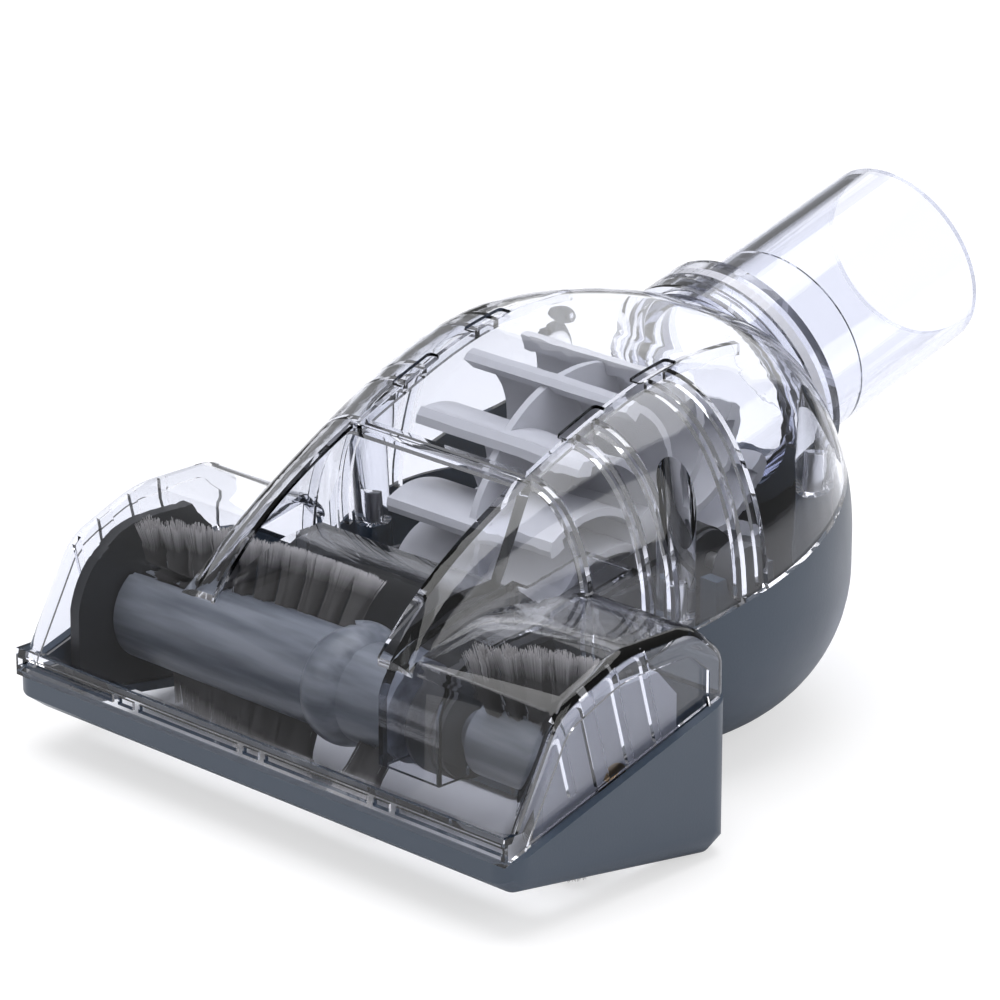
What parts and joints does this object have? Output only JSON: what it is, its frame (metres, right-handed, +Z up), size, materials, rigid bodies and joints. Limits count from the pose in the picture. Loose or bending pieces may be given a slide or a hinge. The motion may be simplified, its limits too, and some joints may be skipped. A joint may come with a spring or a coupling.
{
  "type": "vacuum turbine brush head",
  "caption": "Mini vacuum brush head: clear hood over an air turbine that drives a bristle roller by belt, grey base, swivelling hose neck.",
  "frame": {"origin": "on the floor under the middle of the head's bounding box", "axes": "+X across the nozzle towards the belt side, +Y from the nozzle lip to the hose neck, +Z up"},
  "size_m": [0.129, 0.182, 0.0878],
  "materials": {
    "base_plastic": "satin",
    "clear_plastic": "clear gloss",
    "dark_plastic": "satin",
    "black_plastic": "satin",
    "turbine_plastic": "satin",
    "roller_plastic": "satin",
    "bristle": "nylon hair",
    "steel": "ground",
    "bronze": "sintered",
    "belt_rubber": "matte",
    "felt": "felt"
  },
  "bodies": {
    "housing": {"base_shell": "base_plastic", "top_cover": "clear_plastic", "belt_cover": "clear_plastic", "air_guide": "dark_plastic", "turbine_bearing_left": "bronze", "turbine_bearing_right": "bronze", "bearing_cap_left": "dark_plastic", "bearing_cap_right": "dark_plastic", "drive_belt": "belt_rubber", "roller_bush_left": "bronze", "roller_bush_right": "bronze", "end_block_left": "black_plastic", "end_block_right": "black_plastic", "neck_seal": "felt", "cover_screws": "steel"},
    "turbine": {"turbine_rotor": "turbine_plastic", "turbine_shaft": "steel", "drive_pinion": "black_plastic"},
    "roller": {"brush_roller": "roller_plastic", "roller_pulley": "black_plastic", "bristles_long_a": "bristle", "bristles_long_b": "bristle", "bristles_short_a": "bristle", "bristles_short_b": "bristle", "roller_pin_left": "steel", "roller_pin_right": "steel"},
    "neck": {"neck_tube": "clear_plastic"}
  },
  "joints": [
    {"name": "turbine_spin", "type": "hinge", "parent": "housing", "child": "turbine", "pos_m": [0, 0.001, 0.036], "axis": [1, 0, 0], "continuous": true},
    {"name": "brush_spin", "type": "hinge", "parent": "housing", "child": "roller", "pos_m": [0, -0.061, 0.0206], "axis": [1, 0, 0], "continuous": true},
    {"name": "neck_swivel", "type": "hinge", "parent": "housing", "child": "neck", "pos_m": [0, 0.03234, 0.05464], "axis": [0, 0.9659, 0.2588], "continuous": true}
  ],
  "couplings": [
    {"joint": "brush_spin", "follows": "turbine_spin", "ratio": 0.55}
  ]
}
